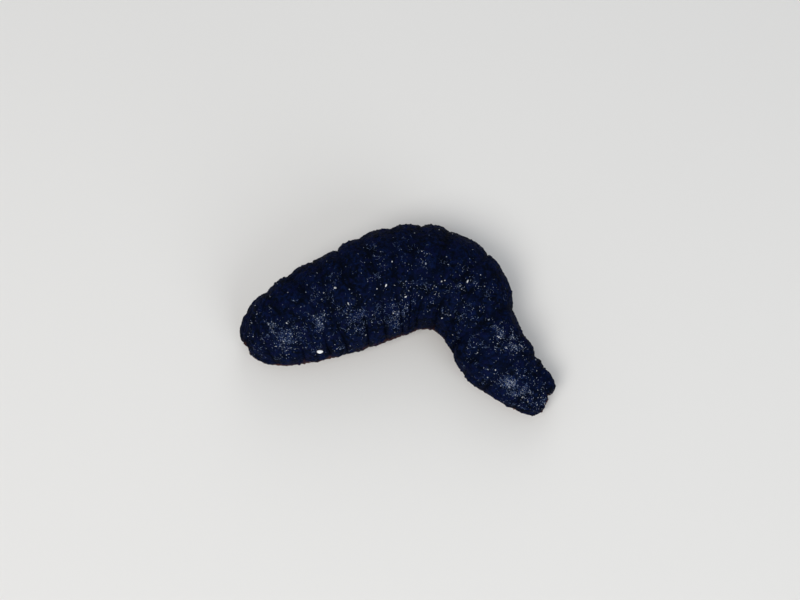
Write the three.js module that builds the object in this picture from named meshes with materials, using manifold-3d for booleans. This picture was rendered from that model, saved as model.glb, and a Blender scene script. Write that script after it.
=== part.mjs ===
// A large dark sea cucumber lying bent on its flat sole: a stout, wrinkled body parted into eight
// lengths along its folds, tube feet under each length, a mouth with drawn-in tentacles at the
// front end and a puckered vent at the rear end.
// Millimetres, +Z up, floor at z = 0. The body runs from its front end at low X, over the far
// side of the bend, to its rear end at high X. "Outer" is the left flank on the way from front to
// rear, which is the long side of the bend, and "inner" is the right flank.

import * as THREE from "three";
import { mergeVertices } from "three/addons/utils/BufferGeometryUtils.js";
import Module from "manifold-3d";

const wasm = await Module();
wasm.setup();

// The line of the body, seen from above: it starts at the front tip and turns at each bend.
const BODY_LENGTH = 250;
const FRONT_TIP = { x: -102.9, y: -19.4 };
const FRONT_HEADING = 27; // degrees anticlockwise from +X
const BENDS = [
  { middle: 70, span: 90, turn: -7 },
  { middle: 132, span: 77, turn: -68 },
  { middle: 185, span: 60, turn: -9 },
  { middle: 230, span: 34, turn: 26 },
];

// Half widths to either side of that line.
const HALF_WIDTHS = [
  { at: 0, outer: 16.5, inner: 9 },
  { at: 20, outer: 23, inner: 23 },
  { at: 45, outer: 27.5, inner: 32.5 },
  { at: 75, outer: 30, inner: 37.5 },
  { at: 105, outer: 34, inner: 38 },
  { at: 135, outer: 37.5, inner: 34.5 },
  { at: 165, outer: 36.5, inner: 23.5 },
  { at: 195, outer: 20, inner: 28 },
  { at: 210, outer: 18, inner: 28 },
  { at: 225, outer: 16.5, inner: 20.5 },
  { at: 250, outer: 14.5, inner: 13 },
];
const HEIGHT_TO_WIDTH = 0.8;
const SOLE_CLEARANCE = 1.6; // the sole stands this far above the floor, on its tube feet
const AXIS_LEVEL = 0.42; // height of the widest level, as a share of the section's height
const BACK_ROUNDNESS = 2.15; // exponent of the section's upper half, 2 being an ellipse
const SOLE_FLATNESS = 3.2; // exponent of its lower half

// The rounded ends: how far back each reaches, how blunt it is, and how far its tip is lifted.
const FRONT_END = { reach: 20, bluntness: 2.8, lift: 2 };
const REAR_END = { reach: 14, bluntness: 2.8, lift: 3 };

// The grooves between the transverse folds: where each one meets the two flanks, and its depth.
const GROOVES = [
  { outer: 11, inner: 16, depth: 2.2 },
  { outer: 30, inner: 34, depth: 3.0 },
  { outer: 47, inner: 51, depth: 3.4 },
  { outer: 64, inner: 63, depth: 3.0 },
  { outer: 82, inner: 79, depth: 4.4 },
  { outer: 99, inner: 92, depth: 2.4 },
  { outer: 113, inner: 109, depth: 3.4 },
  { outer: 127, inner: 124, depth: 3.0 },
  { outer: 138, inner: 142, depth: 2.8 },
  { outer: 155, inner: 160, depth: 3.8 },
  { outer: 167, inner: 172, depth: 2.0 },
  { outer: 188, inner: 184, depth: 4.2 },
  { outer: 206, inner: 203, depth: 1.4 },
  { outer: 221, inner: 218, depth: 3.0 },
  { outer: 234, inner: 234, depth: 2.4 },
];
const FOLD_LEVEL = 0.7; // share of a fold's depth that lies inside the mean surface
const BACK_FOLD_SHARE = 0.35; // the folds are shallower over the back
const SOLE_FOLD_SHARE = 0.12; // and all but pressed flat under the sole
const GROOVE_WANDER = 2.0; // how far a groove strays along the body on its way over
const KNOB_HEIGHT = 0.7; // each fold is broken into a row of low knobs
const KNOBS_AROUND = 7;

// The mouth faces forwards and down at the front tip, and the vent backwards and up at the rear tip.
// Creases run in to each from all round it, the first one from above.
const MOUTH = {
  heading: 209,
  pitch: -14,
  radius: 5,
  hollow: 8, // how far in the hollow behind the opening goes
  inset: 3.5, // how far the skin round the opening is drawn in
  creases: 9,
  creaseDepth: 2.6,
  creaseReach: 17,
};
const VENT = {
  heading: -31,
  pitch: 10,
  radius: 3,
  hollow: 8,
  inset: 4,
  creases: 5,
  creaseDepth: 6,
  creaseReach: 15,
};
const CREASE_SHARPNESS = 4;
const INSET_REACH = 1.9; // the skin is drawn in over this many radii of the opening
const LIP_THICKNESS = 1.5; // half the width of the ring of lip round the mouth

// Feeding tentacles, drawn in to the mouth: short stalks with a knobbed, shield-like end.
const TENTACLES = 20;
const TENTACLE_LENGTH = 4.6;
const TENTACLE_STALK_RADIUS = 0.55;
const TENTACLE_SHIELD_RADIUS = 0.95;
const TENTACLE_SIDES = 5;
const CROWN_RADII = [3.5, 2.1]; // they stand in two rings
const ORAL_DISC = { radius: 4.6, thickness: 2 };

// Tube feet stand in rows across the sole and reach down to the floor, flat-ended.
const FOOT_ROW_PITCH = 7.4;
const FOOT_SPACING = 8.6;
const FOOT_ROOT_RADIUS = 1.8;
const FOOT_STALK_RADIUS = 1.1;
const FOOT_SUCKER_RADIUS = 1.5;
const FOOT_SUCKER_THICKNESS = 0.7;
const FOOT_ROOT = 2.6; // how far a foot's root is sunk into the sole
const FOOT_SIDES = 6;
const FOOT_REACH = 0.72; // the outermost feet stand at this share of the half width
const FOOT_SPLAY = 1.8; // and lean outwards by this much
const FOOT_JITTER = 1.1;
const FEET_FROM = 24;
const FEET_TO = 234;

// The lengths, each from one groove to another, counted in GROOVES. They part with a thin gap.
const LENGTHS = [
  { name: "head_end", from: null, to: 1 },
  { name: "front_body", from: 1, to: 4 },
  { name: "front_trunk", from: 4, to: 6 },
  { name: "bend_front", from: 6, to: 8 },
  { name: "bend_rear", from: 8, to: 9 },
  { name: "rear_trunk", from: 9, to: 11 },
  { name: "rear_body", from: 11, to: 13 },
  { name: "tail_end", from: 13, to: null },
];
const GAP = 0.3;

// Fineness of the surfaces.
const SIDES = 40;
const RINGS_PER_FOLD = 5;
const RINGS_PER_END = 9;
const OPENING_SIDES = 30;
const LIP_SIDES = 6;
const LINE_STEP = 0.5;

const skinMaterial = new THREE.MeshStandardMaterial({ color: 0x0d1626, roughness: 0.7, metalness: 0 });
const mouthMaterial = new THREE.MeshStandardMaterial({ color: 0x2b2524, roughness: 0.6, metalness: 0 });

const radians = THREE.MathUtils.degToRad;
const { clamp, lerp, seededRandom } = THREE.MathUtils;

function smoothStep(x) {
  const t = clamp(x, 0, 1);
  return t * t * (3 - 2 * t);
}

function heading(s) {
  const turned = BENDS.reduce((sum, b) => sum + b.turn * smoothStep((s - b.middle) / b.span + 0.5), 0);
  return radians(FRONT_HEADING + turned);
}

// The line is followed in short steps once, and read off between them after that.
const line = [new THREE.Vector2(FRONT_TIP.x, FRONT_TIP.y)];
for (let s = 0; s < BODY_LENGTH; s += LINE_STEP) {
  const h = heading(s + LINE_STEP / 2);
  const last = line[line.length - 1];
  line.push(new THREE.Vector2(last.x + Math.cos(h) * LINE_STEP, last.y + Math.sin(h) * LINE_STEP));
}

function lineAt(s) {
  const i = clamp(Math.floor(s / LINE_STEP), 0, line.length - 2);
  return line[i].clone().lerp(line[i + 1], s / LINE_STEP - i);
}

// A smooth curve through the half widths of one side, with the slopes of their neighbours.
function halfWidth(s, side) {
  const last = HALF_WIDTHS.length - 1;
  const i = clamp(HALF_WIDTHS.findLastIndex((w) => w.at <= s), 0, last - 1);
  const slope = (k) => {
    const a = HALF_WIDTHS[Math.max(k - 1, 0)];
    const b = HALF_WIDTHS[Math.min(k + 1, last)];
    return (b[side] - a[side]) / (b.at - a.at);
  };
  const [p, q] = [HALF_WIDTHS[i], HALF_WIDTHS[i + 1]];
  const span = q.at - p.at;
  const t = (s - p.at) / span;
  return (
    (1 + 2 * t) * (1 - t) ** 2 * p[side] +
    t * (1 - t) ** 2 * span * slope(i) +
    t * t * (3 - 2 * t) * q[side] +
    t * t * (t - 1) * span * slope(i + 1)
  );
}

// How far the section has opened at a distance from a rounded end's tip, from 0 to 1.
function endShare(distance, end) {
  const t = clamp(1 - distance / end.reach, 0, 1);
  return (1 - t ** end.bluntness) ** (1 / end.bluntness);
}

// A groove's place along the body at an angle round the section: 0 is the outer flank, 90 the back.
function grooveAt(k, angle) {
  if (k < 0) return 0;
  if (k >= GROOVES.length) return BODY_LENGTH;
  const { outer, inner } = GROOVES[k];
  const wander = GROOVE_WANDER * Math.sin(angle) * Math.sin(2 * angle + 2.1 * k);
  return lerp(inner, outer, (1 + Math.cos(angle)) / 2) + wander;
}

function grooveDepth(k) {
  return GROOVES[k] ? GROOVES[k].depth : 0;
}

// The folds are rounded between sharp grooves on the flanks, and turn to soft waves over the back.
function foldOffset(s, angle) {
  let k = -1;
  while (k < GROOVES.length - 1 && grooveAt(k + 1, angle) <= s) k += 1;
  const from = grooveAt(k, angle);
  const t = clamp((s - from) / (grooveAt(k + 1, angle) - from), 0, 1);
  const up = Math.sin(angle);
  const bulge = lerp(Math.sqrt(1 - (2 * t - 1) ** 2), Math.sin(Math.PI * t) ** 2, smoothStep(2 * up - 1));
  const depth = lerp(grooveDepth(k), grooveDepth(k + 1), t);
  const share = up > 0 ? lerp(1, BACK_FOLD_SHARE, up) : lerp(1, SOLE_FOLD_SHARE, Math.min(1, -2 * up));
  const knob = KNOB_HEIGHT * Math.sin(KNOBS_AROUND * angle + 2.4 * k) * Math.sin(Math.PI * t);
  return share * (depth * (bulge - FOLD_LEVEL) + knob);
}

// Levels of one section: its underside, its widest level and its top.
function sectionLevels(s) {
  const height = (halfWidth(s, "outer") + halfWidth(s, "inner")) * HEIGHT_TO_WIDTH;
  const frontLift = FRONT_END.lift * (1 - endShare(s, FRONT_END));
  const rearLift = REAR_END.lift * (1 - endShare(BODY_LENGTH - s, REAR_END));
  const axis = SOLE_CLEARANCE + AXIS_LEVEL * height + frontLift + rearLift;
  return { sole: SOLE_CLEARANCE, axis, top: axis + (1 - AXIS_LEVEL) * height };
}

// A place given by station, distance to the left of the line, and level.
function place(s, across, level) {
  const centre = lineAt(s);
  const h = heading(s);
  return new THREE.Vector3(centre.x - Math.sin(h) * across, centre.y + Math.cos(h) * across, level);
}

// A point of the body without its openings. share runs from 0 on the axis to 1 on the skin.
function bodyPoint(s, angle, share = 1) {
  const { sole, axis, top } = sectionLevels(s);
  const [c, u] = [Math.cos(angle), Math.sin(angle)];
  const power = u > 0 ? BACK_ROUNDNESS : SOLE_FLATNESS;
  const radius = (Math.abs(c) ** power + Math.abs(u) ** power) ** (-1 / power);
  const across = radius * c * halfWidth(s, c > 0 ? "outer" : "inner");
  const up = radius * u * (u > 0 ? top - axis : axis - sole);
  const opened = endShare(s, FRONT_END) * endShare(BODY_LENGTH - s, REAR_END);
  const scale = share * opened * (1 + foldOffset(s, angle) / Math.hypot(across, up));
  return place(s, across * scale, axis + up * scale);
}

// The frame of an opening: its middle, at a tip of the body, the outward axis, and two directions
// across that axis, of which "upper" points up the end of the body.
function openingFrame(opening, station) {
  const [h, p] = [radians(opening.heading), radians(opening.pitch)];
  const out = new THREE.Vector3(Math.cos(h) * Math.cos(p), Math.sin(h) * Math.cos(p), Math.sin(p));
  const side = new THREE.Vector3(0, 0, 1).cross(out).normalize();
  const upper = out.clone().cross(side);
  const middle = bodyPoint(station, 0, 0).addScaledVector(out, -opening.inset);
  return { ...opening, out, side, upper, middle };
}

const mouth = openingFrame(MOUTH, 0);
const vent = openingFrame(VENT, BODY_LENGTH);

// Where a point lies as seen from an opening: how far out from its axis, at what angle from the
// upper side, and how far behind its middle.
function seenFrom(opening, point) {
  const rel = point.clone().sub(opening.middle);
  const a = rel.dot(opening.upper);
  const b = rel.dot(opening.side);
  return { radius: Math.hypot(a, b), angle: Math.atan2(b, a), behind: -rel.dot(opening.out) };
}

// From 1 along the middle of each crease to 0 between two creases.
function creaseShare(opening, angle) {
  return (0.5 + 0.5 * Math.cos(opening.creases * angle)) ** CREASE_SHARPNESS;
}

// How far the skin at a point is drawn in towards an opening.
function drawnIn(opening, point) {
  const { radius, angle, behind } = seenFrom(opening, point);
  const fade = 1 - smoothStep(Math.max(radius, behind) / opening.creaseReach);
  const crease = fade * creaseShare(opening, angle) * smoothStep(radius / opening.radius);
  const nearness = Math.exp(-((radius / (INSET_REACH * opening.radius)) ** 2));
  return opening.creaseDepth * crease + opening.inset * nearness * (behind < opening.creaseReach);
}

function skinPoint(s, angle, share = 1) {
  const point = bodyPoint(s, angle, share);
  for (const opening of [mouth, vent]) {
    point.addScaledVector(opening.out, -share * drawnIn(opening, point));
  }
  point.z = Math.max(point.z, SOLE_CLEARANCE);
  return point;
}

// A closed geometry as a solid: vertices in one place are merged and empty triangles dropped.
function solidOf(geometry) {
  const bare = new THREE.BufferGeometry();
  bare.setAttribute("position", geometry.getAttribute("position"));
  bare.setIndex(geometry.getIndex());
  const merged = mergeVertices(bare, 1e-4);
  const index = merged.getIndex().array;
  const kept = [];
  for (let i = 0; i < index.length; i += 3) {
    const [a, b, c] = index.slice(i, i + 3);
    if (a !== b && b !== c && c !== a) kept.push(a, b, c);
  }
  const vertProperties = merged.getAttribute("position").array;
  return new wasm.Manifold(new wasm.Mesh({ numProp: 3, vertProperties, triVerts: new Uint32Array(kept) }));
}

// The largest closed surface of a solid, as a geometry.
function geometryOf(solid) {
  const largest = solid.decompose().reduce((a, b) => (a.volume() > b.volume() ? a : b));
  const mesh = largest.getMesh();
  const geometry = new THREE.BufferGeometry();
  geometry.setAttribute("position", new THREE.BufferAttribute(new Float32Array(mesh.vertProperties), 3));
  geometry.setIndex(new THREE.BufferAttribute(new Uint32Array(mesh.triVerts), 1));
  geometry.computeVertexNormals();
  return geometry;
}

// A lathe with every point then moved by to(radius, along, angle).
function warpedLathe(profile, sides, to) {
  const geometry = new THREE.LatheGeometry(profile, sides);
  const position = geometry.getAttribute("position");
  for (let i = 0; i < position.count; i += 1) {
    const { x, y } = profile[i % profile.length];
    const turn = Math.floor(i / profile.length) % sides;
    const point = to(x, y, (turn / sides) * 2 * Math.PI);
    position.setXYZ(i, point.x, point.y, point.z);
  }
  return solidOf(geometry);
}

function outline(...points) {
  return points.map(([x, y]) => new THREE.Vector2(x, y));
}

// One length of the body. Its rings follow the grooves, so that it parts from the next along one.
// The height along the profile counts grooves, with -1 at the front tip.
function bodyLength({ from, to }) {
  const first = from ?? -1;
  const last = to ?? GROOVES.length;
  const profile = [];
  if (from !== null) profile.push(new THREE.Vector2(0, first));
  for (let k = first; k < last; k += 1) {
    const rings = k < 0 || k === GROOVES.length - 1 ? RINGS_PER_END : RINGS_PER_FOLD;
    for (let i = 0; i < rings; i += 1) {
      let t = i / rings;
      if (k < 0) t = t ** 3;
      if (k === GROOVES.length - 1) t = 1 - (1 - t) ** 3;
      profile.push(new THREE.Vector2(1, k + t));
    }
  }
  profile.push(new THREE.Vector2(1, last));
  if (to !== null) profile.push(new THREE.Vector2(0, last));
  return warpedLathe(profile, SIDES, (share, along, angle) => {
    const k = Math.min(Math.floor(along), GROOVES.length - 1);
    const onFlanks = (grooveAt(k, 0) + grooveAt(k, Math.PI)) / 2;
    const s = share === 0 ? onFlanks : lerp(grooveAt(k, angle), grooveAt(k + 1, angle), along - k);
    const point = skinPoint(s, angle, share);
    const shift = (GAP / 2) * ((from !== null && along === first) - (to !== null && along === last));
    return point.add(new THREE.Vector3(Math.cos(heading(s)) * shift, Math.sin(heading(s)) * shift, 0));
  });
}

// The level of the body's underside at a share of the half width out from the line.
function undersideLevel(s, share) {
  const { sole, axis } = sectionLevels(s);
  return axis - (axis - sole) * (1 - Math.abs(share) ** SOLE_FLATNESS) ** (1 / SOLE_FLATNESS);
}

// A tube foot: a stalk from inside the sole down to a flat sucker on the floor.
function tubeFoot(s, share) {
  const across = share * halfWidth(s, share > 0 ? "outer" : "inner");
  const top = undersideLevel(s, share) + FOOT_ROOT;
  const profile = outline(
    [0, 0],
    [FOOT_SUCKER_RADIUS, 0],
    [FOOT_STALK_RADIUS, FOOT_SUCKER_THICKNESS],
    [FOOT_ROOT_RADIUS, top],
    [0, top],
  );
  return warpedLathe(profile, FOOT_SIDES, (radius, level, angle) => {
    const lean = FOOT_SPLAY * (share / FOOT_REACH) * (1 - level / top);
    const point = place(s, across + lean, level);
    return point.add(new THREE.Vector3(radius * Math.cos(angle), radius * Math.sin(angle), 0));
  });
}

// The tube feet of one length, in staggered rows that keep clear of its two ends.
function tubeFeet({ from, to }) {
  const margin = FOOT_SUCKER_RADIUS + GAP + FOOT_JITTER;
  const start = from === null ? FEET_FROM : grooveAt(from, 0);
  const stop = to === null ? FEET_TO : grooveAt(to, 0);
  const middle = (start + stop) / 2;
  const width = halfWidth(middle, "outer") + halfWidth(middle, "inner");
  const columns = Math.round((width * FOOT_REACH) / FOOT_SPACING);
  const rows = Math.max(1, Math.round((stop - start) / FOOT_ROW_PITCH));
  const feet = [];
  for (let row = 0; row < rows; row += 1) {
    for (let column = 0; column <= columns; column += 1) {
      const share = FOOT_REACH * ((2 * (column + 0.25 * (-1) ** row)) / columns - 1);
      if (Math.abs(share) > FOOT_REACH * 1.05) continue;
      const angle = -Math.acos(share);
      const front = (from === null ? FEET_FROM : grooveAt(from, angle)) + margin;
      const back = (to === null ? FEET_TO : grooveAt(to, angle)) - margin;
      const jitter = (seededRandom() - 0.5) * 2 * FOOT_JITTER;
      feet.push(tubeFoot(clamp(lerp(front, back, (row + 0.5) / rows) + jitter, front, back), share));
    }
  }
  return feet;
}

// A lathe about an opening's outward axis, its heights counted outwards from the body's surface.
// rim(angle) scales the radius, the angle running round from the upper side.
function atOpening(opening, profile, sides, rim = () => 1) {
  const frame = new THREE.Matrix4().makeBasis(opening.upper, opening.out, opening.side);
  frame.setPosition(opening.middle);
  return warpedLathe(profile, sides, (radius, height, angle) => {
    const r = radius * rim(angle);
    return new THREE.Vector3(r * Math.cos(angle), height, -r * Math.sin(angle)).applyMatrix4(frame);
  });
}

// The hollow behind an opening, notched along its creases.
function hollow(opening, notch) {
  const { radius, hollow: depth } = opening;
  const profile = outline(
    [0, -depth],
    [radius * 0.95, -depth],
    [radius, -depth * 0.4],
    [radius, depth],
    [0, depth],
  );
  return atOpening(opening, profile, OPENING_SIDES, (a) => 1 + notch * (creaseShare(opening, a) - 0.3));
}

// The ring of lip round the mouth, gathered in at each crease.
function lip() {
  const ring = [];
  for (let i = 0; i <= LIP_SIDES; i += 1) {
    const turn = (i / LIP_SIDES) * 2 * Math.PI;
    const radius = MOUTH.radius + LIP_THICKNESS * (0.7 + Math.cos(turn));
    ring.push(new THREE.Vector2(radius, LIP_THICKNESS * (Math.sin(turn) - 0.5)));
  }
  return atOpening(mouth, ring, OPENING_SIDES, (a) => 1 - 0.12 * creaseShare(mouth, a));
}

// The drawn-in tentacles, which stand on a disc at the bottom of the mouth.
function mouthTentacles() {
  const floor = GAP - MOUTH.hollow;
  const top = floor + ORAL_DISC.thickness;
  const { radius } = ORAL_DISC;
  let solid = atOpening(mouth, outline([0, floor], [radius, floor], [radius, top], [0, top]), TENTACLES);
  const tip = top + TENTACLE_LENGTH;
  const profile = outline(
    [0, (floor + top) / 2],
    [TENTACLE_STALK_RADIUS, (floor + top) / 2],
    [TENTACLE_STALK_RADIUS, tip - 2 * TENTACLE_SHIELD_RADIUS],
    [TENTACLE_SHIELD_RADIUS, tip - TENTACLE_SHIELD_RADIUS],
    [TENTACLE_SHIELD_RADIUS * 0.7, tip - 0.25 * TENTACLE_SHIELD_RADIUS],
    [0, tip],
  );
  for (let i = 0; i < TENTACLES; i += 1) {
    const turn = (i / TENTACLES) * 2 * Math.PI;
    const away = CROWN_RADII[i % CROWN_RADII.length];
    const [up, across] = [away * Math.cos(turn), away * Math.sin(turn)];
    const middle = mouth.middle.clone().addScaledVector(mouth.upper, up).addScaledVector(mouth.side, across);
    solid = solid.add(atOpening({ ...mouth, middle }, profile, TENTACLE_SIDES));
  }
  return solid;
}

function addMesh(name, solid, material) {
  const mesh = new THREE.Mesh(geometryOf(solid), material);
  mesh.name = name;
  group.add(mesh);
}

const group = new THREE.Group();
seededRandom(11);
for (const length of LENGTHS) {
  let solid = bodyLength(length);
  for (const foot of tubeFeet(length)) solid = solid.add(foot);
  if (length.from === null) solid = solid.add(lip()).subtract(hollow(mouth, 0));
  if (length.to === null) solid = solid.subtract(hollow(vent, 0.5));
  addMesh(length.name, solid, skinMaterial);
}
addMesh("mouth_tentacles", mouthTentacles(), mouthMaterial);

export default group;
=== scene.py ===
"""The looks of a large, near-black sea cucumber that lies bent on its flat sole.

One skin stands for all lengths of the body, with the same line, widths, folds and openings as the
solids and finer wrinkles on top. Tube feet, mouth tentacles and loose sediment are pieces of
their own. Sizes are in millimetres while a shape is worked out, and turned to metres when its
mesh is made. "Outer" is the left flank on the way from the mouth to the vent, the long side of
the bend, and an angle round the body is 0 at the outer flank and 90 degrees at the back.
"""

import math

import bmesh
import bpy
import numpy as np
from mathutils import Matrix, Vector


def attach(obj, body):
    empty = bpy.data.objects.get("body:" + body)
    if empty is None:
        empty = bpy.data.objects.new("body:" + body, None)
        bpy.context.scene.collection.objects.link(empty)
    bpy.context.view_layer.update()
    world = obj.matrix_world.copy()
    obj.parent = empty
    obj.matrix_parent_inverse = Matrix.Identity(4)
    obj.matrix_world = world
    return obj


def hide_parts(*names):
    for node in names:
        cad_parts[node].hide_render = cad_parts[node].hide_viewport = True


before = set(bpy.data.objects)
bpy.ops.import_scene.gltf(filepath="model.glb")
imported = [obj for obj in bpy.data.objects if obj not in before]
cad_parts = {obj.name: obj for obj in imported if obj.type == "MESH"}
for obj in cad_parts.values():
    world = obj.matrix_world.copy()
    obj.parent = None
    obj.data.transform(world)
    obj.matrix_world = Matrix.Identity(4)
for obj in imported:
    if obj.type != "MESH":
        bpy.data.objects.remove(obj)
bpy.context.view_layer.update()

MM = 0.001
TURN = 2 * math.pi

# The line of the body, seen from above: it starts at the front tip and turns at each bend.
BODY_LENGTH = 250
FRONT_TIP = (-102.9, -19.4)
FRONT_HEADING = 27  # degrees anticlockwise from +X
BENDS = ((70, 90, -7), (132, 77, -68), (185, 60, -9), (230, 34, 26))  # middle, span, turn
LINE_STEP = 0.5

# Half widths to either side of that line: station, outer, inner.
HALF_WIDTHS = np.array(
    [
        (0, 16.5, 9),
        (20, 23, 23),
        (45, 27.5, 32.5),
        (75, 30, 37.5),
        (105, 34, 38),
        (135, 37.5, 34.5),
        (165, 36.5, 23.5),
        (195, 20, 28),
        (210, 18, 28),
        (225, 16.5, 20.5),
        (250, 14.5, 13),
    ]
)
HEIGHT_TO_WIDTH = 0.8
SOLE_CLEARANCE = 1.6
AXIS_LEVEL = 0.42
BACK_ROUNDNESS = 2.15
SOLE_FLATNESS = 3.2

# The rounded ends: how far back each reaches, how blunt it is, and how far its tip is lifted.
FRONT_END = {"reach": 20, "bluntness": 2.8, "lift": 2}
REAR_END = {"reach": 14, "bluntness": 2.8, "lift": 3}

# The grooves between the folds: where each meets the outer and inner flank, and its depth.
GROOVES = np.array(
    [
        (0, 0, 0),
        (11, 16, 2.2),
        (30, 34, 3.0),
        (47, 51, 3.4),
        (64, 63, 3.0),
        (82, 79, 4.4),
        (99, 92, 2.4),
        (113, 109, 3.4),
        (127, 124, 3.0),
        (138, 142, 2.8),
        (155, 160, 3.8),
        (167, 172, 2.0),
        (188, 184, 4.2),
        (206, 203, 1.4),
        (221, 218, 3.0),
        (234, 234, 2.4),
        (BODY_LENGTH, BODY_LENGTH, 0),
    ]
)
FOLDS = len(GROOVES) - 1
FOLD_LEVEL = 0.7
BACK_FOLD_SHARE = 0.35
SOLE_FOLD_SHARE = 0.12
GROOVE_WANDER = 2.0
KNOB_HEIGHT = 0.7
KNOBS_AROUND = 7

# The mouth and the vent, each at a tip of the body, with creases that run in to it.
MOUTH = {
    "heading": 209,
    "pitch": -14,
    "radius": 5,
    "hollow": 8,
    "inset": 3.5,
    "creases": 9,
    "crease_depth": 2.6,
    "crease_reach": 17,
    "foot": 7.5,
    "notch": -0.14,
}
VENT = {
    "heading": -31,
    "pitch": 10,
    "radius": 3,
    "hollow": 8,
    "inset": 4,
    "creases": 5,
    "crease_depth": 6,
    "crease_reach": 15,
    "foot": 4.8,
    "notch": 0.5,
}
CREASE_SHARPNESS = 4
INSET_REACH = 1.9
LIP_THICKNESS = 1.5

# Fineness of the skin, and the places, counted in grooves, where the two openings' rings take over.
COLUMNS = 400
RING_PITCH = 0.45
RIM_ROWS = 14
MOUTH_RING = 0.42
VENT_RING = FOLDS - 0.3
ANGLES = TURN * (np.arange(COLUMNS) / COLUMNS - 0.25)
SAMPLE_RINGS = 90
HOLLOW_WALL_ROWS = 14
HOLLOW_FLOOR_ROWS = 9

# The skin's relief: sizes of its forms and their heights. Radii are shares of a form's size.
WRINKLES = {"along": 2.8, "around": 11, "girth": 30, "height": 1.0}
LUMPS = {"size": 6.5, "height": 0.5}
GRAIN = {"size": 1.4, "radii": (0.45, 0.75), "height": 0.22}
PAPILLAE = {"size": 4.2, "radii": (0.18, 0.34), "height": 0.65}

# The brown underside: size and strength of the blotches and spots along its edge, and how far
# down, as a share of the way to the sole, it begins and is full.
UNDERSIDE = {"blotches": (11, 0.34), "spots": (2.6, 0.2), "begins": 0.24, "full": 0.62}

# Thin sediment all over the back: how much there is, and how much of that lies in the grooves. Keeping
# the grooves barer is dust, and also painted shade that darkens them.
THIN_COVER = 0.18
GROOVE_COVER_AND_SHADE = 0.4
FACING = (0.48, 0.9)  # sediment begins and is full where the skin faces SETTLED_AND_LIT_FROM this closely
DRIFT_SIZE = 7
RAGGED_SIZE = 4

# Patches where more sediment has settled: station, degrees round the body, radius, cover.
PATCHES = (
    (29, 129, 9, 0.4),
    (21, 105, 7, 0.2),
    (51, 126, 4, 0.9),
    (76, 135, 9, 0.35),
    (101, 150, 9, 0.3),
    (132, 94, 8, 0.15),
    (176, 66, 4, 1.0),
    (166, 76, 6, 0.3),
    (197, 88, 7, 0.5),
    (209, 72, 6, 0.7),
    (227, 117, 7, 1.0),
    (235, 125, 4, 1.0),
)
SETTLED_AND_LIT_FROM = np.array([0, -0.6, 0.8])  # more of it lies where the skin faces this way, on the inner flank and the lit side, so the far flank stays darker: dust, and painted shade on the far flank
GRAINS = 2300
GRAIN_RADIUS = 0.17
GRAIN_RADIUS_LIMIT = 0.7
THREADS = 900
THREADS_IN_TUFT = 5
TUFT_SPREAD = 2.4  # in steps of the skin's grid
THREAD_RINGS = 8
THREAD_LENGTHS = (1.0, 3.2)
THREAD_RADII = (0.035, 0.075)
THREAD_BEND = 2.6
THREAD_WAVE = 1.6
FLECKS = 70
FLECK_PLACES = ((101, 116), (73, 119), (162, 85), (69, 99), (117, 132))  # station, degrees
SHELL_BIT = {"at": (44.7, 163.8), "radii": (1.9, 1.6, 1.0), "rise": 0.5}
UV_PATCH = 0.003

# Tube feet. FOOT_PROFILE gives a radius, a level, and the share of the foot's height added to it.
FEET_FROM = 20
FEET_TO = 238
FOOT_PITCH = 2.8
FOOT_REACH = 0.7
FOOT_ROOT = 1.4
FOOT_SPLAY = (-0.4, 2.6)  # least and most
FOOT_STRAY = 1.3
FOOT_BEND = 0.7
FOOT_RING_SPACING = 2.6
FOOT_SIDES = 8
FOOT_PROFILE = (
    (0.9, 0, 0),
    (1.0, 0.25, 0),
    (0.85, 0.5, 0),
    (0.6, 0.8, 0.05),
    (0.7, 0, 0.6),
    (1.1, 0, 1),
)
SUCKER_HOLLOW = 0.12

# Feeding tentacles, drawn in to the mouth in two rings, and the disc that they stand on.
TENTACLES = 20
TENTACLE_LENGTH = 3.6
TENTACLE_TIP = -2.2
TENTACLE_STALK_RADIUS = 0.5
TENTACLE_SHIELD_RADIUS = 0.95
CROWN_RADII = (3.5, 2.1)
ORAL_DISC = {"radius": 4.6, "top": -5.9, "bottom": -7.6}

# Colours, as linear red, green and blue.
INK = (0.0009, 0.0021, 0.0062)
NAVY = (0.0013, 0.0034, 0.0155)
BLUE = (0.003, 0.0085, 0.043)
VIOLET = (0.0028, 0.0042, 0.027)
# Painted shade that darkens the low parts of the skin's fine bump.
HOLLOW_SHADE = (0.0006, 0.001, 0.0028)
BLOOM = (0.0075, 0.021, 0.095)
FROST = (0.085, 0.16, 0.38)
DUST = (0.30, 0.38, 0.52)
SOLE_DARK = (0.03, 0.011, 0.01)
SOLE_PALE = (0.1, 0.042, 0.034)
SUCKER = (0.32, 0.2, 0.17)
THROAT = (0.012, 0.008, 0.009)
TENTACLE_DARK = (0.03, 0.018, 0.014)
TENTACLE_PALE = (0.16, 0.11, 0.085)
SAND_DARK = (0.06, 0.08, 0.12)
SAND_PALE = (0.62, 0.68, 0.78)
THREAD_DARK = (0.02, 0.04, 0.11)
THREAD_PALE = (0.2, 0.28, 0.46)
SHELL_DARK = (0.36, 0.37, 0.38)
SHELL_PALE = (0.8, 0.81, 0.82)

# Sizes of the noise that colours the skin.
SKIN_PATCHES = 9
SKIN_MOTTLES = 2.3
SKIN_VIOLET = 4.5
SKIN_FINE = 0.75
SKIN_FINEST = 0.28
PAINTED_THREADS = 1.5
THREAD_BREAKS = 3.1
DUST_CELLS = 0.8
SUCKER_CELLS = 1.7

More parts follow.
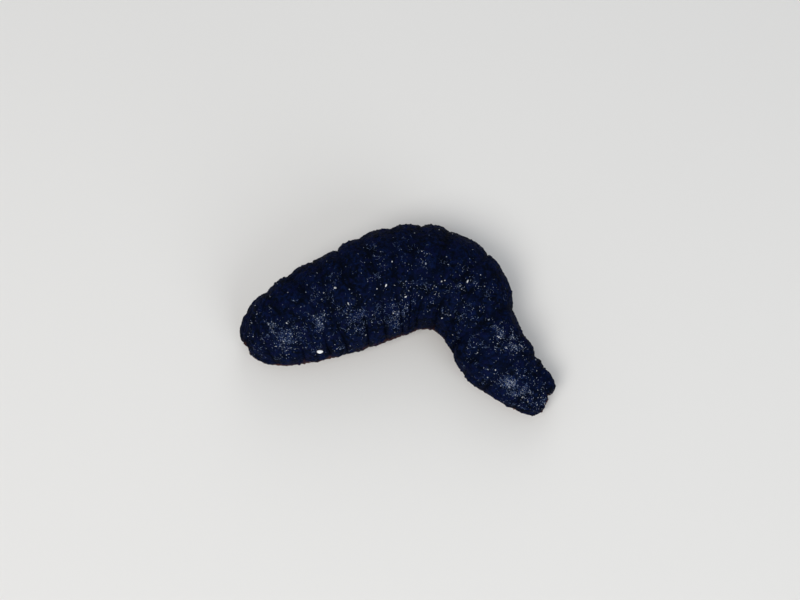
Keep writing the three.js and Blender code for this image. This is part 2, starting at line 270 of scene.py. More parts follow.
# The studio, in metres, and the camera, which looks along +Y and down.
FLOOR = (0.72, 0.71, 0.69)
FLOOR_EDGE = 3.0  # from the middle to each side
SKY = (0.92, 0.95, 1.0)
SKY_STRENGTH = 0.45
LAMPS = {
    "key": {"place_m": (-1.2, -1.7, 2.4), "size": 1.6, "watts": 60, "colour": (1.0, 0.98, 0.95)},
    "fill": {"place_m": (1.3, -1.9, 1.1), "size": 1.8, "watts": 26, "colour": (0.92, 0.96, 1.0)},
    "back": {"place_m": (0.4, 2.4, 1.6), "size": 1.8, "watts": 12, "colour": (0.95, 0.97, 1.0)},
}
LIGHT_TARGET = (0, 0, 0.02)
CAMERA = {"elevation": 65, "lens": 38, "distance": 0.597, "aim": (0.0031, 0.0226, 0)}


def smooth_step(x, low=0.0, high=1.0):
    t = np.clip((x - low) / (high - low), 0, 1)
    return t * t * (3 - 2 * t)


def lerp(a, b, t):
    return a + (b - a) * t


def unit(v):
    return v / np.maximum(np.linalg.norm(v, axis=-1, keepdims=True), 1e-9)


def heading(s):
    turned = sum(turn * smooth_step((s - middle) / span + 0.5) for middle, span, turn in BENDS)
    return np.radians(FRONT_HEADING + turned)


def followed_line():
    """The stations and places of the body's line, in short steps from its front tip."""
    stations = np.arange(0, BODY_LENGTH + LINE_STEP, LINE_STEP)
    h = heading(stations[:-1] + LINE_STEP / 2)
    steps = np.stack([np.cos(h), np.sin(h)], axis=1) * LINE_STEP
    return stations, np.concatenate([[FRONT_TIP], FRONT_TIP + np.cumsum(steps, axis=0)])


LINE = followed_line()


def half_width(s, column):
    """The half width at stations s: column 1 of HALF_WIDTHS is the outer side, 2 the inner."""
    at, width = HALF_WIDTHS[:, 0], HALF_WIDTHS[:, column]
    last = len(at) - 1
    before = np.maximum(np.arange(last + 1) - 1, 0)
    after = np.minimum(np.arange(last + 1) + 1, last)
    slope = (width[after] - width[before]) / (at[after] - at[before])
    i = np.clip(np.searchsorted(at, s, side="right") - 1, 0, last - 1)
    span = at[i + 1] - at[i]
    t = (s - at[i]) / span
    return (
        (1 + 2 * t) * (1 - t) ** 2 * width[i]
        + t * (1 - t) ** 2 * span * slope[i]
        + t * t * (3 - 2 * t) * width[i + 1]
        + t * t * (t - 1) * span * slope[i + 1]
    )


def end_share(distance, end):
    t = np.clip(1 - distance / end["reach"], 0, 1)
    return (1 - t ** end["bluntness"]) ** (1 / end["bluntness"])


def groove_at(k, angle):
    """The station of groove k at an angle round the body. Grooves 0 and FOLDS are the two tips."""
    inside = (k > 0) & (k < FOLDS)
    wander = GROOVE_WANDER * np.sin(angle) * np.sin(2 * angle + 2.1 * (k - 1)) * inside
    return lerp(GROOVES[k, 1], GROOVES[k, 0], (1 + np.cos(angle)) / 2) + wander


def fold_place(along):
    """The fold that a place counted in grooves is in, and how far through it."""
    k = np.clip(np.floor(along).astype(int), 0, FOLDS - 1)
    return k, along - k


def station(along, angle):
    k, t = fold_place(along)
    return lerp(groove_at(k, angle), groove_at(k + 1, angle), t)


def fold_offset(along, angle):
    k, t = fold_place(along)
    up = np.sin(angle)
    rounded = np.sqrt(np.maximum(0, 1 - (2 * t - 1) ** 2))
    wavy = np.sin(math.pi * t) ** 2
    bulge = lerp(rounded, wavy, smooth_step(up, 0.5, 1))
    depth = lerp(GROOVES[k, 2], GROOVES[k + 1, 2], t)
    on_back = lerp(1, BACK_FOLD_SHARE, np.maximum(up, 0))
    share = np.where(up > 0, on_back, lerp(1, SOLE_FOLD_SHARE, np.clip(-2 * up, 0, 1)))
    knob = KNOB_HEIGHT * np.sin(KNOBS_AROUND * angle + 2.4 * (k - 1)) * np.sin(math.pi * t)
    return share * (depth * (bulge - FOLD_LEVEL) + knob)


def section_levels(s):
    """Levels of the widest line and of the top of the section at stations s."""
    height = (half_width(s, 1) + half_width(s, 2)) * HEIGHT_TO_WIDTH
    front_lift = FRONT_END["lift"] * (1 - end_share(s, FRONT_END))
    rear_lift = REAR_END["lift"] * (1 - end_share(BODY_LENGTH - s, REAR_END))
    axis = SOLE_CLEARANCE + AXIS_LEVEL * height + front_lift + rear_lift
    return axis, axis + (1 - AXIS_LEVEL) * height


def place(s, across, level):
    """Points given by station, distance to the left of the line, and level."""
    h = heading(s)
    x = np.interp(s, LINE[0], LINE[1][:, 0]) - np.sin(h) * across
    y = np.interp(s, LINE[0], LINE[1][:, 1]) + np.cos(h) * across
    return np.stack(np.broadcast_arrays(x, y, level), axis=-1)


def body_point(along, angle):
    s = station(along, angle)
    axis, top = section_levels(s)
    c, u = np.cos(angle), np.sin(angle)
    power = np.where(u > 0, BACK_ROUNDNESS, SOLE_FLATNESS)
    radius = (np.abs(c) ** power + np.abs(u) ** power) ** (-1 / power)
    across = radius * c * np.where(c > 0, half_width(s, 1), half_width(s, 2))
    up = radius * u * np.where(u > 0, top - axis, axis - SOLE_CLEARANCE)
    opened = end_share(s, FRONT_END) * end_share(BODY_LENGTH - s, REAR_END)
    scale = opened * (1 + fold_offset(along, angle) / np.hypot(across, up))
    return place(s, across * scale, axis + up * scale)


def opening_frame(opening, s):
    """Adds an opening's middle, its outward axis and two directions across that axis."""
    h, p = math.radians(opening["heading"]), math.radians(opening["pitch"])
    out = np.array([math.cos(h) * math.cos(p), math.sin(h) * math.cos(p), math.sin(p)])
    side = unit(np.cross([0, 0, 1], out))
    middle = place(s, 0, section_levels(s)[0]) - opening["inset"] * out
    return {**opening, "out": out, "side": side, "upper": np.cross(out, side), "middle": middle}


MOUTH = opening_frame(MOUTH, 0)
VENT = opening_frame(VENT, BODY_LENGTH)


def seen_from(opening, points):
    """Distance from an opening's axis, angle from its upper side, and depth behind its middle."""
    rel = points - opening["middle"]
    a, b = rel @ opening["upper"], rel @ opening["side"]
    return np.hypot(a, b), np.arctan2(b, a), -rel @ opening["out"]


def crease_share(opening, angle):
    return (0.5 + 0.5 * np.cos(opening["creases"] * angle)) ** CREASE_SHARPNESS


def drawn_in(opening, points):
    radius, angle, behind = seen_from(opening, points)
    fade = 1 - smooth_step(np.maximum(radius, behind) / opening["crease_reach"])
    crease = fade * crease_share(opening, angle) * smooth_step(radius / opening["radius"])
    near = np.exp(-((radius / (INSET_REACH * opening["radius"])) ** 2))
    near = near * (behind < opening["crease_reach"])
    return opening["crease_depth"] * crease + opening["inset"] * near


def skin_point(along, angle):
    points = body_point(along, angle)
    for opening in (MOUTH, VENT):
        points = points - drawn_in(opening, points)[..., None] * opening["out"]
    points[..., 2] = np.maximum(points[..., 2], SOLE_CLEARANCE)
    return points


def hashed(ix, iy, iz, seed):
    """A repeatable number from 0 to 1 for each whole-numbered place."""
    n = ix * 374761393 + iy * 668265263 + iz * 2147483647 + seed * 974634777
    n = (n ^ (n >> 13)) * 1274126177
    n = n ^ (n >> 16)
    return (n & 0xFFFFFF) / 0xFFFFFF


def noise(points, seed=0):
    """Smooth noise from -1 to 1 with features about one unit across."""
    cell = np.floor(points).astype(np.int64)
    t = points - cell
    t = t * t * t * (t * (6 * t - 15) + 10)
    total = 0
    for dx in (0, 1):
        for dy in (0, 1):
            for dz in (0, 1):
                corner = hashed(cell[..., 0] + dx, cell[..., 1] + dy, cell[..., 2] + dz, seed)
                wx = t[..., 0] if dx else 1 - t[..., 0]
                wy = t[..., 1] if dy else 1 - t[..., 1]
                wz = t[..., 2] if dz else 1 - t[..., 2]
                total = total + corner * wx * wy * wz
    return 2 * total - 1


def fractal(points, octaves, seed=0):
    total, weight, size = 0, 0, 1.0
    for i in range(octaves):
        total = total + noise(points / size, seed + i) * size
        weight += size
        size /= 2
    return total / weight


def domes(points, size, seed, smallest, largest):
    """Round bumps from 0 to 1 high, one in each cell of a grid. Radii are shares of a cell."""
    p = points / size
    cell = np.floor(p).astype(np.int64)
    height = np.zeros(p.shape[:-1])
    for step in np.ndindex(3, 3, 3):
        c = cell + np.array(step) - 1
        drawn = [hashed(c[..., 0], c[..., 1], c[..., 2], seed + i) for i in range(4)]
        centre = c + np.stack(drawn[:3], axis=-1)
        radius = lerp(smallest, largest, drawn[3])
        near = 1 - ((p - centre) ** 2).sum(axis=-1) / radius**2
        height = np.maximum(height, np.clip(near, 0, 1) * (1.5 - 0.5 * np.clip(near, 0, 1)))
    return height


def ring_places():
    """Places of the body's rings, counted in grooves, about evenly spaced along the body."""
    places = []
    for k in range(FOLDS):
        outer, inner = GROOVES[k + 1, :2] - GROOVES[k, :2]
        n = round((outer + inner) / 2 / RING_PITCH)
        places.extend(k + i / n for i in range(n))
    places = np.array(places)
    return places[(places >= MOUTH_RING) & (places <= VENT_RING)]


def end_rings(opening, near, profile):
    """Rings of skin from the body's ring at near to the bottom of an opening's hollow.

    Rows of profile give a radius, a height above the opening's middle, the share of the skin's
    own height that is added to it, and how far the creases notch the radius.
    """
    tip = 0 if near < FOLDS / 2 else FOLDS
    places = tip + (near - tip) * np.linspace(0, 1, SAMPLE_RINGS)[:, None] ** 2
    samples = np.broadcast_arrays(places, ANGLES)
    radius, angle, behind = seen_from(opening, skin_point(*samples))
    radius = np.maximum.accumulate(radius, axis=0)
    rows = round((radius[-1].mean() - opening["foot"]) / RING_PITCH)
    wanted = lerp(opening["foot"], radius[-1], np.linspace(1, 0, rows + 1)[1:, None])

    def read_off(values):
        columns = [np.interp(wanted[:, j], radius[:, j], values[:, j]) for j in range(COLUMNS)]
        return np.stack(columns, axis=1)

    turn = np.arctan2(read_off(np.sin(angle)), read_off(np.cos(angle)))
    level = read_off(-behind)
    notch = opening["notch"] * (crease_share(opening, turn[-1]) - 0.3)
    r, h, follow, notched = (column[:, None] for column in profile.T)
    r = np.concatenate([wanted, r * (1 + notched * notch)])
    h = np.concatenate([level, h + follow * level[-1]])
    turn = np.concatenate([turn, np.broadcast_to(turn[-1], (len(profile), COLUMNS))])
    across = (r * np.cos(turn))[..., None] * opening["upper"]
    across = across + (r * np.sin(turn))[..., None] * opening["side"]
    inside = np.concatenate([np.zeros(rows), np.clip(np.arange(len(profile)) / RIM_ROWS, 0, 1)])
    return opening["middle"] + across + h[..., None] * opening["out"], inside


def with_hollow(rim, opening):
    """A rim's profile, followed by the wall and the floor of the hollow behind it."""
    radius, height = rim[-1, :2]
    wall = np.linspace(height, -opening["hollow"], HOLLOW_WALL_ROWS)[1:]
    floor = np.linspace(radius, 0, HOLLOW_FLOOR_ROWS)[1:-1]
    r = np.concatenate([np.full(len(wall), radius), floor])
    h = np.concatenate([wall, np.full(len(floor), wall[-1])])
    follow = rim[-1, 2] * np.clip(1 - np.arange(len(r)) / 8, 0, 1)
    return np.concatenate([rim, np.stack([r, h, follow, r / radius], axis=1)])


def mouth_profile():
    """A rounded lip, from its foot over its crest to the mouth's wall."""
    turn = np.linspace(0.12, 1, RIM_ROWS) * math.pi
    share = np.linspace(0, 1, RIM_ROWS)
    r = MOUTH["radius"] + LIP_THICKNESS * (0.7 + np.cos(turn))
    h = LIP_THICKNESS * (np.sin(turn) - 0.5) * smooth_step(share, 0, 0.25)
    rim = [np.maximum(r, 0.95 * MOUTH["radius"]), h, 1 - share / 2, share]
    return with_hollow(np.stack(rim, axis=1), MOUTH)


def vent_profile():
    """A rounded edge, from the skin to the vent's wall."""
    turn = np.linspace(0, 0.5, RIM_ROWS) * math.pi
    share = np.sin(turn)
    r = lerp(VENT["foot"], VENT["radius"], share)
    rim = [r, -1.4 * (1 - np.cos(turn)), 1 - share, share]
    return with_hollow(np.stack(rim, axis=1), VENT)


def grid_normals(points):
    along = np.gradient(points, axis=0)
    around = np.roll(points, -1, axis=1) - np.roll(points, 1, axis=1)
    return unit(np.cross(around, along))


def relief(points, s, angle):
    """Height in millimetres of the skin's wrinkles, lumps, grain and papillae."""
    across = WRINKLES["girth"] * np.stack([np.cos(angle), np.sin(angle)], axis=-1)
    warped = s + 1.6 * fractal(points / 9, 2, 21)
    crossing = [warped[..., None] / WRINKLES["along"], across / WRINKLES["around"]]
    crossing = np.concatenate(crossing, axis=-1)
    wrinkles = np.abs(fractal(crossing, 3, 3)) - 0.2
    lumps = fractal(points / LUMPS["size"], 2, 5)
    grain = domes(points, GRAIN["size"], 7, *GRAIN["radii"])
    papillae = domes(points, PAPILLAE["size"], 9, *PAPILLAE["radii"])
    height = WRINKLES["height"] * wrinkles + LUMPS["height"] * lumps
    return height + GRAIN["height"] * grain + PAPILLAE["height"] * papillae


def sediment_on(points, normals, crest):
    """Share of the skin that fine sediment covers: it lies on top, on the crests and in patches. Keeping
    it off the grooves and the far flank also paints shade there.
    """
    # Sediment kept to skin facing the lit side: dust, and painted shade on the far flank.
    facing = smooth_step(normals @ SETTLED_AND_LIT_FROM, *FACING)
    drifts = smooth_step(fractal(points / DRIFT_SIZE, 3, 31), -0.55, 0.45)
    # Sparser sediment in the grooves than on the crests: dust, and painted shade in the grooves.
    cover = THIN_COVER * facing * lerp(GROOVE_COVER_AND_SHADE, 1, crest) * drifts
    for s, degrees, radius, strength in PATCHES:
        middle = skin_point(*along_at(s, math.radians(degrees)))
        distance = np.linalg.norm(points - middle, axis=-1)
        ragged = np.maximum(0, 0.55 + 1.5 * fractal(points / RAGGED_SIZE, 3, 35))
        cover = cover + strength * ragged * np.exp(-((distance / radius) ** 2)) * facing
    return np.clip(cover, 0, 1)


def along_at(s, angle):
    """The place, counted in grooves, of a station at an angle, and that angle, as small arrays."""
    along = np.linspace(0, FOLDS, 20 * FOLDS)
    found = np.interp(s, station(along, np.full(along.shape, angle)), along)
    return np.array([found]), np.array([angle])


def make_skin():
    """The grid of the skin from the mouth's floor to the vent's, with what is known of each point."""
    along, angle = np.meshgrid(ring_places(), ANGLES, indexing="ij")
    front, front_inside = end_rings(MOUTH, MOUTH_RING, mouth_profile())
    rear, rear_inside = end_rings(VENT, VENT_RING, vent_profile())
    t = fold_place(along)[1]
    flat = np.ones(COLUMNS)
    s = [np.outer(0 * front_inside, flat), station(along, angle)]
    s = np.concatenate(s + [np.outer(0 * rear_inside + BODY_LENGTH, flat)])
    inside = [np.outer(front_inside[::-1], flat), np.zeros(along.shape), np.outer(rear_inside, flat)]
    crest = [0.7 + 0 * inside[0], np.sqrt(np.maximum(0, 1 - (2 * t - 1) ** 2)), 0.7 + 0 * inside[2]]
    inside, crest = np.concatenate(inside), np.concatenate(crest)
    angle = np.broadcast_to(ANGLES, s.shape)
    bare = np.concatenate([front[::-1], skin_point(along, ANGLES + 0 * along), rear])
    smooth = grid_normals(bare)
    (blotch_size, blotch_share), (spot_size, spot_share) = UNDERSIDE["blotches"], UNDERSIDE["spots"]
    edge = blotch_share * fractal(bare / blotch_size, 4, 41)
    edge = edge + spot_share * fractal(bare / spot_size, 2, 45)
    under = smooth_step(edge - np.sin(angle), UNDERSIDE["begins"], UNDERSIDE["full"])
    firmness = (1 - 0.75 * inside) * (1 - 0.7 * smooth_step(-smooth[..., 2], 0.3, 0.9))
    points = bare + (relief(bare, s, angle) * firmness)[..., None] * smooth
    points[..., 2] = np.maximum(points[..., 2], SOLE_CLEARANCE - 0.4)
    normals = grid_normals(points)
    sediment = sediment_on(bare, 0.5 * (normals + smooth), crest) * (1 - inside) * (1 - under)
    return {
        "points": points,
        "normals": normals,
        "s": s,
        "crest": crest,
        "inside": inside,
        "under": under,
        "sediment": sediment,
    }


def grid_uv(skin):
    """The skin's own unwrap: once round the body across, and from mouth to vent up."""
    rows = len(skin["s"])
    u, v = np.meshgrid(np.arange(COLUMNS) / COLUMNS, np.arange(rows) / (rows - 1))
    return np.stack([u, v], axis=-1)


def grid_faces(rows, columns):
    """Quads of a grid closed round its columns, and the two fans of triangles that cap it."""
    i, j = np.meshgrid(np.arange(rows - 1), np.arange(columns), indexing="ij")
    following = (j + 1) % columns
    corners = [i * columns + j, i * columns + following]
    corners += [(i + 1) * columns + following, (i + 1) * columns + j]
    quads = np.stack([c.ravel() for c in corners], axis=1)
    j = np.arange(columns)
    first, last = rows * columns, rows * columns + 1
    ends = (rows - 1) * columns
    start = np.stack([0 * j + first, (j + 1) % columns, j], axis=1)
    stop = np.stack([0 * j + last, ends + j, ends + (j + 1) % columns], axis=1)
    return quads, np.concatenate([start, stop])


def add_mesh(name, points, faces, uv, material, attributes=None):
    """A smooth mesh from points in millimetres, blocks of faces, and UVs for each face's corners."""
    mesh = bpy.data.meshes.new(name)
    corners = np.concatenate([block.ravel() for block in faces])
    totals = np.concatenate([np.full(len(block), block.shape[1]) for block in faces])
    mesh.vertices.add(len(points))
    mesh.vertices.foreach_set("co", (points * MM).astype(np.float32).ravel())
    mesh.loops.add(len(corners))
    mesh.loops.foreach_set("vertex_index", corners.astype(np.int32))
    mesh.polygons.add(len(totals))
    starts = np.concatenate([[0], np.cumsum(totals)[:-1]])
    mesh.polygons.foreach_set("loop_start", starts.astype(np.int32))
    mesh.polygons.foreach_set("use_smooth", np.ones(len(totals), bool))
    mesh.uv_layers.new(name="OFBake").data.foreach_set("uv", uv.astype(np.float32).ravel())
    for key, values in (attributes or {}).items():
        layer = mesh.attributes.new(key, "FLOAT", "POINT")
        layer.data.foreach_set("value", values.astype(np.float32).ravel())
    mesh.update(calc_edges=True)
    mesh.materials.append(material)
    piece = bpy.data.objects.new(name, mesh)
    bpy.context.scene.collection.objects.link(piece)
    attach(piece, "root")
    return piece


def add_skin(skin, material):
    rows = len(skin["s"])
    points = skin["points"].reshape(-1, 3)
    poles = np.stack([skin["points"][0].mean(axis=0), skin["points"][-1].mean(axis=0)])
    quads, caps = grid_faces(rows, COLUMNS)
    uv = grid_uv(skin).reshape(-1, 2)
    uv = np.concatenate([uv, [[0.5, 0], [0.5, 1]]])
    corner_uv = [uv[quads.ravel()].reshape(-1, 4, 2), uv[caps.ravel()].reshape(-1, 3, 2)]
    corner_uv[0][..., 0] += (quads % COLUMNS == 0) * np.array([0, 1, 1, 0])
    corner_uv = np.concatenate([block.reshape(-1, 2) for block in corner_uv])
    keys = ("crest", "inside", "under", "sediment")
    attributes = {k: np.concatenate([skin[k].ravel(), [skin[k][0, 0], skin[k][-1, 0]]]) for k in keys}
    points = np.concatenate([points, poles])
    return add_mesh("skin", points, [quads, caps], corner_uv, material, attributes)


def add_joined(name, shapes, faces, roots, material, attributes=None):
    """Many small shapes as one mesh. shapes holds each one's points, roots its place on the unwrap.

    Every shape's UVs are a patch of UV_PATCH across at its root's place.
    """
    count, size = shapes.shape[:2]
    first = (np.arange(count) * size)[:, None, None]
    blocks = [(first + block).reshape(-1, block.shape[1]) for block in faces]
    flat = shapes[..., :2] - shapes[..., :2].mean(axis=1, keepdims=True)
    flat = flat / np.abs(flat).max(axis=(1, 2), keepdims=True)
    uv = (roots[:, None] + flat * UV_PATCH / 2).reshape(-1, 2)
    corner_uv = np.concatenate([uv[block.ravel()] for block in blocks])
    values = {k: np.repeat(v, size) for k, v in (attributes or {}).items()}
    return add_mesh(name, shapes.reshape(-1, 3), blocks, corner_uv, material, values)


def tube_faces(rings, sides):
    """Faces of a closed tube: rings of points, then one point at each end."""
    quads, caps = grid_faces(rings, sides)
    return [quads, caps]


def frames(normals, turns):
    """For each normal, two directions across it, the first one turned about it."""
    side = unit(np.cross(normals, [0.3, 0.9, 0.2]))
    other = np.cross(normals, side)
    c, s = np.cos(turns)[:, None], np.sin(turns)[:, None]
    return side * c + other * s, other * c - side * s


def set_on(points, middles, x, y, z):
    """Local points of every shape turned to the shape's own three directions and moved to its place."""
    local = points[..., 0:1] * x[:, None] + points[..., 1:2] * y[:, None] + points[..., 2:3] * z[:, None]
    return middles[:, None] + local


def drawn_roots(skin, weights, count, rng):
    """Grid places drawn in proportion to the weights, as flat indices."""
    share = (weights / weights.sum()).ravel()
    return rng.choice(share.size, size=count, p=share)


def add_grains(skin, uv, material):
    """Loose grains of sand that lie where the sediment is thickest, with a few strewn elsewhere."""
    rng = np.random.default_rng(5)
    weights = skin["sediment"] ** 1.6 + 0.002 * (skin["normals"][..., 2] > 0.5) * (skin["inside"] == 0)
    at = drawn_roots(skin, weights, GRAINS, rng)
    middles, normals = skin["points"].reshape(-1, 3)[at], skin["normals"].reshape(-1, 3)[at]
    ico, faces = icosphere(1)
    jitter = rng.uniform(0.6, 1.35, (GRAINS, len(ico), 1))
    size = rng.lognormal(math.log(GRAIN_RADIUS), 0.38, (GRAINS, 1, 1))
    stretch = rng.uniform([0.8, 0.6, 0.35], [1.5, 1.0, 0.8], (GRAINS, 3))[:, None]
    x, y = frames(normals, rng.uniform(0, TURN, GRAINS))
    size = np.minimum(size, GRAIN_RADIUS_LIMIT)
    shapes = set_on(ico * jitter * size * stretch, middles, x, y, normals)
    tone = rng.uniform(0, 1, GRAINS) ** 1.6
    piece = add_joined(
        "sediment_grains", shapes, [faces], uv.reshape(-1, 2)[at], material, {"tone": tone}
    )


def add_threads(skin, uv, material):
    """Short curled threads of algae and slime, in tufts where the sediment lies."""
    rng = np.random.default_rng(8)
    tufts = drawn_roots(skin, skin["sediment"] ** 1.4, THREADS // THREADS_IN_TUFT, rng)
    spread = np.round(rng.normal(0, TUFT_SPREAD, (2, THREADS))).astype(int)
    row, column = np.divmod(np.repeat(tufts, THREADS_IN_TUFT), COLUMNS)
    row = np.clip(row + spread[0], 0, len(skin["s"]) - 1)
    at = row * COLUMNS + (column + spread[1]) % COLUMNS
    middles, normals = skin["points"].reshape(-1, 3)[at], skin["normals"].reshape(-1, 3)[at]
    length = rng.uniform(*THREAD_LENGTHS, THREADS)[:, None, None]
    bend = rng.uniform(-THREAD_BEND, THREAD_BEND, THREADS)[:, None, None]
    t = np.linspace(-0.5, 0.5, THREAD_RINGS)[None, :, None]
    wave = rng.uniform(-THREAD_WAVE, THREAD_WAVE, THREADS)[:, None, None]
    heading_along = bend * t + wave * np.sin(TURN * (t + rng.uniform(0, 1, THREADS)[:, None, None]))
    step = length / (THREAD_RINGS - 1)
    x = np.cumsum(np.cos(heading_along) * step, axis=1) - length / 2
    y = np.cumsum(np.sin(heading_along) * step, axis=1)
    lift = 0.06 + rng.uniform(0, 0.25, THREADS)[:, None, None] * (1 - 4 * t * t)
    turn = TURN * np.arange(3) / 3
    radius = rng.uniform(*THREAD_RADII, THREADS)[:, None, None] * (1 - 2.4 * t * t)
    rings = []
    for a in turn:
        sideways, upwards = radius * np.cos(a), radius * np.sin(a)
        ring_x = x - np.sin(heading_along) * sideways
        ring_y = y + np.cos(heading_along) * sideways
        rings.append(np.concatenate([ring_x, ring_y, lift + upwards], axis=2))
    body = np.stack(rings, axis=2).reshape(THREADS, -1, 3)
    ends = [body[:, :3].mean(axis=1, keepdims=True), body[:, -3:].mean(axis=1, keepdims=True)]
    local = np.concatenate([body, *ends], axis=1)
    across, other = frames(normals, rng.uniform(0, TURN, THREADS))
    shapes = set_on(local, middles, across, other, normals)
    tone = {"tone": rng.uniform(0, 1, THREADS)}
    roots, faces = uv.reshape(-1, 2)[at], tube_faces(THREAD_RINGS, 3)
    piece = add_joined("sediment_threads", shapes, faces, roots, material, tone)


def add_flecks(skin, uv, material):
    """Coarse flakes of shell, some where the photograph shows them and the rest strewn about."""
    rng = np.random.default_rng(13)
    strewn = drawn_roots(skin, skin["sediment"] + 0.02 * (skin["normals"][..., 2] > 0.5), FLECKS, rng)
    at = np.concatenate([[grid_index(skin, s, degrees) for s, degrees in FLECK_PLACES], strewn])
    middles, normals = skin["points"].reshape(-1, 3)[at], skin["normals"].reshape(-1, 3)[at]
    count = len(at)
    points, faces = icosphere(2)
    ragged = 1 + 0.5 * noise(points[None] * 1.3 + rng.uniform(0, 90, (count, 1, 3)), 51)[..., None]
    length = np.where(np.arange(count) < len(FLECK_PLACES), 1.05, rng.uniform(0.25, 0.55, count))
    size = length[:, None, None] * rng.uniform([0.9, 0.35, 0.12], [1.1, 0.7, 0.25], (count, 3))[:, None]
    x, y = frames(normals, rng.uniform(0, TURN, count))
    shapes = set_on(points * ragged * size, middles + normals * 0.1, x, y, normals)
    tone = rng.uniform(0, 1, count)
    piece = add_joined("shell_flecks", shapes, [faces], uv.reshape(-1, 2)[at], material, {"tone": tone})


def grid_index(skin, s, degrees):
    """The flat index of the grid's point nearest to a station and an angle in degrees."""
    column = round((degrees / 360 + 0.25) * COLUMNS) % COLUMNS
    row = np.argmin(np.abs(skin["s"][:, column] - s))
    return row * COLUMNS + column


def icosphere(subdivisions):
    """Points and triangles of a unit ball."""
    ball = bmesh.new()
    bmesh.ops.create_icosphere(ball, subdivisions=subdivisions, radius=1)
    points = np.array([v.co for v in ball.verts])
    faces = np.array([[v.index for v in f.verts] for f in ball.faces])
    ball.free()
    return points, faces


def add_shell_bit(skin, material):
    """A worn white bit of shell that lies on the head end, domed, with growth lines."""
    at = grid_index(skin, *SHELL_BIT["at"])
    middle, normal = skin["points"].reshape(-1, 3)[at], skin["normals"].reshape(-1, 3)[at]
    points, faces = icosphere(5)
    lines = 0.03 * np.sin(points[:, :1] * 26 + 3 * noise(points * 2, 61)[:, None])
    ragged = 1 + 0.12 * noise(points * 1.6, 62)[:, None] + 0.04 * noise(points * 6, 63)[:, None] + lines
    x, y = frames(normal[None], np.array([0.6]))
    local = (points * ragged * SHELL_BIT["radii"])[None]
    shape = set_on(local, (middle + normal * SHELL_BIT["rise"])[None], x, y, normal[None])
    tone = {"tone": np.ones(1)}
    piece = add_joined("shell_bit", shape, [faces], np.array([[0.5, 0.5]]), material, tone)


def underside_level(s, share):
    axis = section_levels(s)[0]
    flat = (1 - np.abs(share) ** SOLE_FLATNESS) ** (1 / SOLE_FLATNESS)
    return axis - (axis - SOLE_CLEARANCE) * flat


def add_tube_feet(material):
    """Tube feet crowded over the sole, flat-ended on the floor, the outer ones longer and splayed."""
    rng = np.random.default_rng(17)
    s, share = [], []
    for row, at in enumerate(np.arange(FEET_FROM, FEET_TO, FOOT_PITCH)):
        width = half_width(at, 1) + half_width(at, 2)
        columns = round(width * FOOT_REACH / FOOT_PITCH)
        places = FOOT_REACH * ((2 * np.arange(columns) + 1 + (row % 2) / 2) / columns - 1)
        places = places[places < FOOT_REACH]
        s.append(at + rng.uniform(-0.5, 0.5, len(places)) * FOOT_PITCH)
        share.append(places + rng.uniform(-0.5, 0.5, len(places)) * 2 * FOOT_PITCH / width)
    s, share = np.concatenate(s), np.clip(np.concatenate(share), -FOOT_REACH, FOOT_REACH)
    count = len(s)
    top = underside_level(s, share) + FOOT_ROOT
    size = rng.uniform(0.55, 1.15, count)[:, None, None]
    rows = np.array(FOOT_PROFILE)
    radius = rows[:, 0][None, :, None] * size
    level = rows[:, 1][None, :, None] + rows[:, 2][None, :, None] * top[:, None, None]
    turn = TURN * np.arange(FOOT_SIDES) / FOOT_SIDES + rng.uniform(0, TURN, count)[:, None, None]
    drop = 1 - np.clip(level / top[:, None, None], 0, 1)
    strayed = rng.uniform(-FOOT_STRAY, FOOT_STRAY, (2, count))[..., None, None] * drop
    splay = rng.uniform(*FOOT_SPLAY, count) * share / FOOT_REACH
    lean = splay[:, None, None] * drop + strayed[1]
    bend = rng.uniform(-FOOT_BEND, FOOT_BEND, (2, count))[..., None, None] * np.sin(math.pi * drop)
    bend[0] += strayed[0]
    side = half_width(s, 1) * (share > 0) + half_width(s, 2) * (share <= 0)
    root = place(s[:, None, None] + bend[0], (share * side)[:, None, None] + lean + bend[1], level)
    around = np.stack(np.broadcast_arrays(np.cos(turn), np.sin(turn), 0 * turn), axis=-1)
    rings = root + radius[..., None] * around
    low, high = rings[:, 0].mean(axis=1, keepdims=True), rings[:, -1].mean(axis=1, keepdims=True)
    low[..., 2] += SUCKER_HOLLOW
    shapes = np.concatenate([rings.reshape(count, -1, 3), low, high], axis=1)
    roots = np.stack([0.5 - np.arccos(share) / TURN - 0.25, s / BODY_LENGTH], axis=1) % 1
    faces = tube_faces(len(rows), FOOT_SIDES)
    piece = add_joined("tube_feet", shapes, faces, roots, material)


def opening_place(opening, across, height):
    """Points from two coordinates across an opening's axis and a height along it."""
    sideways = across[..., :1] * opening["upper"] + across[..., 1:] * opening["side"]
    return opening["middle"] + sideways + height[..., None] * opening["out"]


def add_tentacles(material):
    """Twenty feeding tentacles drawn in to the mouth, each a stalk with a knobbed, shield-like end."""
    rng = np.random.default_rng(23)
    ball, faces = icosphere(4)
    turn = TURN * np.arange(TENTACLES) / TENTACLES
    away = np.where(np.arange(TENTACLES) % 2 == 0, *CROWN_RADII)
    middle = away[:, None] * np.stack([np.cos(turn), np.sin(turn)], axis=1)
    knobs = domes(ball * 1.0 + rng.uniform(0, 50, (TENTACLES, 1, 3)), 0.42, 71, 0.5, 0.8)
    end = ball * (0.8 + 0.4 * knobs)[..., None]
    stalk = smooth_step(-ball[..., 2], 0.55, 0.9)
    level = np.where(ball[..., 2] < -0.55, (ball[..., 2] + 0.55) / 0.45, 0)
    across = end[..., :2] * lerp(TENTACLE_SHIELD_RADIUS, TENTACLE_STALK_RADIUS, stalk)[..., None]
    height = TENTACLE_TIP + end[..., 2] * TENTACLE_SHIELD_RADIUS * 0.7 + level * TENTACLE_LENGTH
    height = height - 0.5 * (away[:, None] - CROWN_RADII[1])
    shapes = opening_place(MOUTH, middle[:, None] + across, height)
    roots = 0.5 + middle / 12
    piece = add_joined("mouth_crown", shapes, [faces], roots, material)
    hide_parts("mouth_tentacles")


